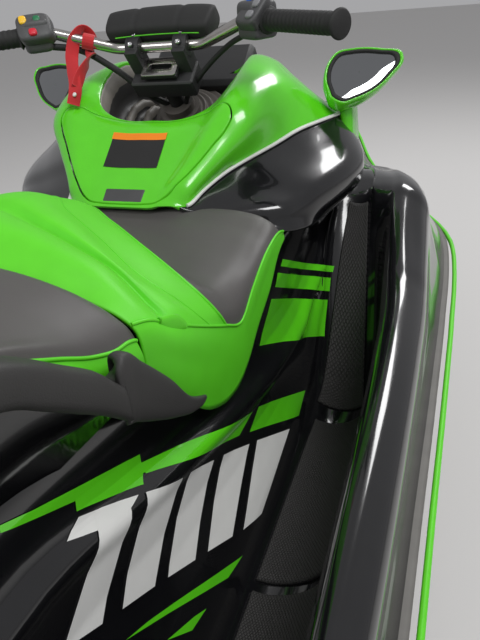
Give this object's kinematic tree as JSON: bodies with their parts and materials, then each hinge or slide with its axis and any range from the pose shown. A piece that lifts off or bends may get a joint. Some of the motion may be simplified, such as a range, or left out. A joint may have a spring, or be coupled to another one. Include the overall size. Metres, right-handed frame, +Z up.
{
  "type": "personal watercraft",
  "caption": "Sit-down personal watercraft with a stepped bench seat, open footwells, a raised console with handlebar and mirrors, a lifting bow hood and a water jet drive.",
  "frame": {"origin": "amidships on the centreline, at the height of the still water when the craft floats upright", "axes": "+X to the bow, +Y to port, +Z up"},
  "size_m": [3.369, 1.1944, 1.1445],
  "materials": {
    "gloss_black": "gloss",
    "lime_paint": "gloss",
    "lime_trim": "satin",
    "rubber_grey": "matte",
    "seat_cover": "matte",
    "grip_grey": "matte",
    "dark_plastic": "matte",
    "housing_grey": "matte",
    "soft_black": "matte",
    "bellows": "matte",
    "bar_metal": "satin",
    "mirror_pane": "polished",
    "mat_grey": "matte",
    "cast_alloy": "satin",
    "steel": "satin",
    "engine_grey": "matte",
    "webbing": "matte"
  },
  "bodies": {
    "watercraft": {"hull": "gloss_black", "deck": "gloss_black", "gunwale_port": "gloss_black", "gunwale_starboard": "gloss_black", "bow_bin": "dark_plastic", "rub_rail": "rubber_grey", "rail_bead": "lime_trim", "console": "lime_paint", "fairing_port": "gloss_black", "fairing_starboard": "gloss_black", "hood_hinge": "steel", "front_seat": "seat_cover", "rear_seat": "seat_cover", "grab_rail": "grip_grey", "steering_column": "bellows", "instrument_pod": "dark_plastic", "mirror_port": "lime_paint", "mirror_starboard": "lime_paint", "mirror_glass_port": "mirror_pane", "mirror_glass_starboard": "mirror_pane", "mat_port": "mat_grey", "mat_starboard": "mat_grey", "stern_mat": "mat_grey", "jet_pump": "cast_alloy", "ride_plate": "cast_alloy", "intake_grate": "cast_alloy", "engine": "engine_grey", "sponsons": "dark_plastic", "bow_eye": "steel", "stern_eyes": "steel", "drain_plugs": "dark_plastic", "step_brackets": "steel", "fuel_cap": "dark_plastic"},
    "steering": {"steering_head": "dark_plastic", "handlebar": "bar_metal", "bar_pad": "soft_black", "grip_port": "soft_black", "grip_starboard": "soft_black", "switch_housing_port": "housing_grey", "switch_housing_starboard": "housing_grey", "throttle_lever": "dark_plastic", "tether_ring": "webbing"},
    "bow_hood": {"hood": "lime_paint"},
    "glove_lid": {"storage_lid": "lime_paint", "lid_latch": "dark_plastic"},
    "pump_rotor": {"impeller": "steel"},
    "jet_nozzle": {"nozzle": "cast_alloy"},
    "reverse_gate": {"reverse_bucket": "cast_alloy"},
    "swim_step": {"boarding_step": "steel"}
  },
  "joints": [
    {"name": "steering", "type": "hinge", "parent": "watercraft", "child": "steering", "pos_m": [0.215, 0, 0.69], "axis": [-0.5878, 0, 0.809], "range_deg": [-24, 24]},
    {"name": "nozzle_yaw", "type": "hinge", "parent": "watercraft", "child": "jet_nozzle", "pos_m": [-1.44, 0, -0.165], "axis": [0, 0, 1], "range_deg": [-20, 20]},
    {"name": "reverse_gate_swing", "type": "hinge", "parent": "watercraft", "child": "reverse_gate", "pos_m": [-1.44, 0, -0.165], "axis": [0, 1, 0], "range_deg": [-68, 0]},
    {"name": "impeller_spin", "type": "hinge", "parent": "watercraft", "child": "pump_rotor", "pos_m": [-1.1, 0, -0.165], "axis": [1, 0, 0], "continuous": true},
    {"name": "hood_lift", "type": "hinge", "parent": "watercraft", "child": "bow_hood", "pos_m": [1.54, 0, 0.362], "axis": [0, 1, 0], "range_deg": [0, 50]},
    {"name": "glove_lid_lift", "type": "hinge", "parent": "watercraft", "child": "glove_lid", "pos_m": [0.134, 0, 0.666], "axis": [0, 1, 0], "range_deg": [0, 55]},
    {"name": "step_drop", "type": "hinge", "parent": "watercraft", "child": "swim_step", "pos_m": [-1.668, 0, 0], "axis": [0, -1, 0], "range_deg": [0, 165]}
  ],
  "couplings": [
    {"joint": "nozzle_yaw", "follows": "steering", "ratio": -0.8}
  ]
}
